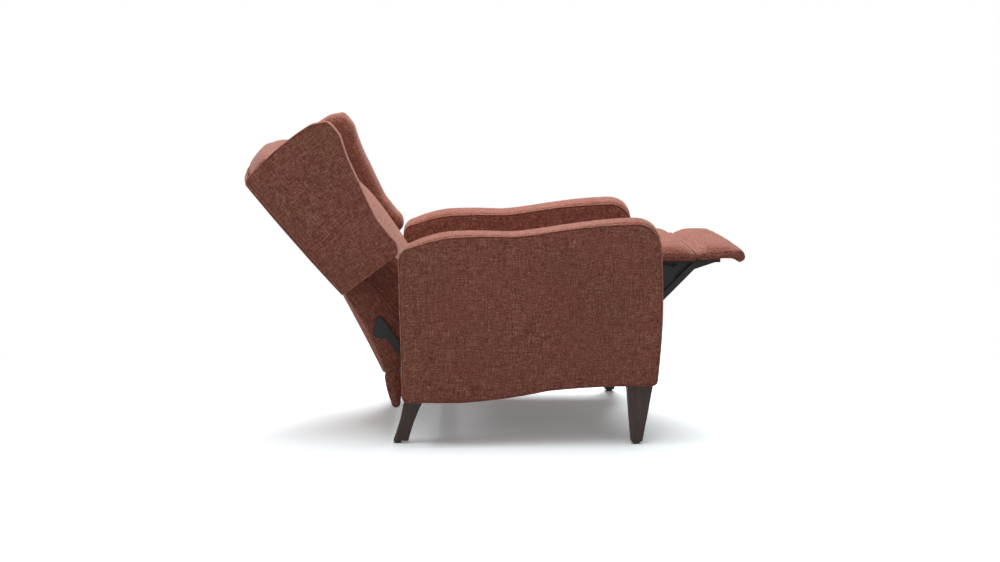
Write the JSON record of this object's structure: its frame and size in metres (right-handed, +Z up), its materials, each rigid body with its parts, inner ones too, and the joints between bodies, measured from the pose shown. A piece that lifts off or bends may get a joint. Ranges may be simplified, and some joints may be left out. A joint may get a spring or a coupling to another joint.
{
  "type": "high leg recliner",
  "caption": "Upholstered wing-back push-back recliner on raised tapered legs, with a reclining back and a fold-out padded footrest.",
  "frame": {"origin": "on the floor, under the middle of the chair as it stands reclined with the footrest open", "axes": "+X the way the sitter faces, +Y to the sitter's left, +Z up"},
  "size_m": [1.474, 0.74, 0.9398],
  "materials": {
    "upholstery": "rust-brown slubby tweed",
    "leg_wood": "dark espresso, satin",
    "frame_wood": "bare hardwood",
    "board_wood": "dark painted plywood",
    "mechanism_steel": "black, low sheen",
    "link_steel": "dark steel grey",
    "fastener_steel": "zinc",
    "glide_plastic": "black",
    "webbing": "woven strap"
  },
  "bodies": {
    "base": {"arm_left": "upholstery", "arm_right": "upholstery", "arm_frame_left": "frame_wood", "arm_frame_right": "frame_wood", "front_leg_left": "leg_wood", "front_leg_right": "leg_wood", "rear_leg_left": "leg_wood", "rear_leg_right": "leg_wood", "leg_glides": "glide_plastic", "leg_bolts": "fastener_steel", "stretchers": "frame_wood", "base_rail_left": "mechanism_steel", "base_rail_right": "mechanism_steel", "base_rail_screws": "fastener_steel", "base_pivot_pins": "fastener_steel"},
    "front_swing_links": {"front_swing_link_left": "mechanism_steel", "front_swing_link_right": "mechanism_steel"},
    "rear_swing_links": {"rear_swing_link_left": "mechanism_steel", "rear_swing_link_right": "mechanism_steel"},
    "recline_links": {"recline_link_left": "mechanism_steel", "recline_link_right": "mechanism_steel"},
    "seat": {"seat_plate_left": "mechanism_steel", "seat_plate_right": "mechanism_steel", "seat_pivot_pins": "fastener_steel", "seat_mount_brackets": "mechanism_steel", "seat_side_rail_left": "frame_wood", "seat_side_rail_right": "frame_wood", "seat_cross_rails": "frame_wood", "seat_webbing": "webbing", "seat_cushion": "upholstery"},
    "back": {"back_arm_left": "mechanism_steel", "back_arm_right": "mechanism_steel", "back_arm_bolts": "fastener_steel", "back_cushion": "upholstery", "outside_back": "upholstery", "lower_outside_back": "upholstery", "bottom_rail_cover": "upholstery", "wing_left": "upholstery", "wing_right": "upholstery", "lower_side_panel_left": "upholstery", "lower_side_panel_right": "upholstery", "back_post_left": "frame_wood", "back_post_right": "frame_wood", "back_rails": "frame_wood"},
    "drive_links": {"torque_tube": "mechanism_steel", "drive_link_left": "mechanism_steel", "drive_link_right": "mechanism_steel", "drive_rivets": "fastener_steel"},
    "control_links": {"control_link_left": "mechanism_steel", "control_link_right": "mechanism_steel"},
    "long_links": {"long_link_left": "link_steel", "long_link_right": "link_steel"},
    "front_links": {"front_link_left": "link_steel", "front_link_right": "link_steel"},
    "footrest": {"footrest_bracket_left": "mechanism_steel", "footrest_bracket_right": "mechanism_steel", "footrest_board": "board_wood", "calf_pad": "upholstery", "foot_pad": "upholstery", "bracket_rivets": "fastener_steel"}
  },
  "joints": [
    {"name": "recline", "type": "hinge", "parent": "seat", "child": "back", "pos_m": [-0.052, 0, 0.281], "axis": [0, 1, 0], "range_deg": [0, 24]},
    {"name": "front_swing", "type": "hinge", "parent": "base", "child": "front_swing_links", "pos_m": [0.2, 0, 0.205], "axis": [0, 1, 0], "range_deg": [-24.01, 0]},
    {"name": "seat_carry", "type": "hinge", "parent": "front_swing_links", "child": "seat", "pos_m": [0.21247, 0, 0.26369], "axis": [0, 1, 0], "range_deg": [0, 24.01]},
    {"name": "rear_swing", "type": "hinge", "parent": "base", "child": "rear_swing_links", "pos_m": [-0.02, 0, 0.205], "axis": [0, 1, 0], "range_deg": [-24.01, 0]},
    {"name": "recline_link_turn", "type": "hinge", "parent": "base", "child": "recline_links", "pos_m": [-0.2247, 0, 0.2284], "axis": [0, 1, 0], "range_deg": [-22.69, 0]},
    {"name": "footrest_fold", "type": "hinge", "parent": "seat", "child": "drive_links", "pos_m": [0.35, 0, 0.3], "axis": [0, 1, 0], "range_deg": [0, 131.1]},
    {"name": "control_turn", "type": "hinge", "parent": "seat", "child": "control_links", "pos_m": [0.3184, 0, 0.2532], "axis": [0, 1, 0], "range_deg": [0, 130.89]},
    {"name": "long_link_turn", "type": "hinge", "parent": "drive_links", "child": "long_links", "pos_m": [0.42169, 0, 0.34567], "axis": [0, 1, 0], "range_deg": [-138.45, 0]},
    {"name": "front_link_turn", "type": "hinge", "parent": "drive_links", "child": "front_links", "pos_m": [0.45509, 0, 0.36695], "axis": [0, 1, 0], "range_deg": [-141.34, 0]},
    {"name": "footrest_turn", "type": "hinge", "parent": "long_links", "child": "footrest", "pos_m": [0.54, 0, 0.5], "axis": [0, 1, 0], "range_deg": [0, 97.29]}
  ],
  "couplings": [
    {"joint": "front_swing", "follows": "recline", "ratio": -1},
    {"joint": "seat_carry", "follows": "recline", "ratio": 1},
    {"joint": "rear_swing", "follows": "recline", "ratio": -1},
    {"joint": "recline_link_turn", "follows": "recline", "ratio": -0.945},
    {"joint": "control_turn", "follows": "footrest_fold", "ratio": 0.9983},
    {"joint": "long_link_turn", "follows": "footrest_fold", "ratio": -1.056},
    {"joint": "front_link_turn", "follows": "footrest_fold", "ratio": -1.078},
    {"joint": "footrest_turn", "follows": "footrest_fold", "ratio": 0.742}
  ]
}
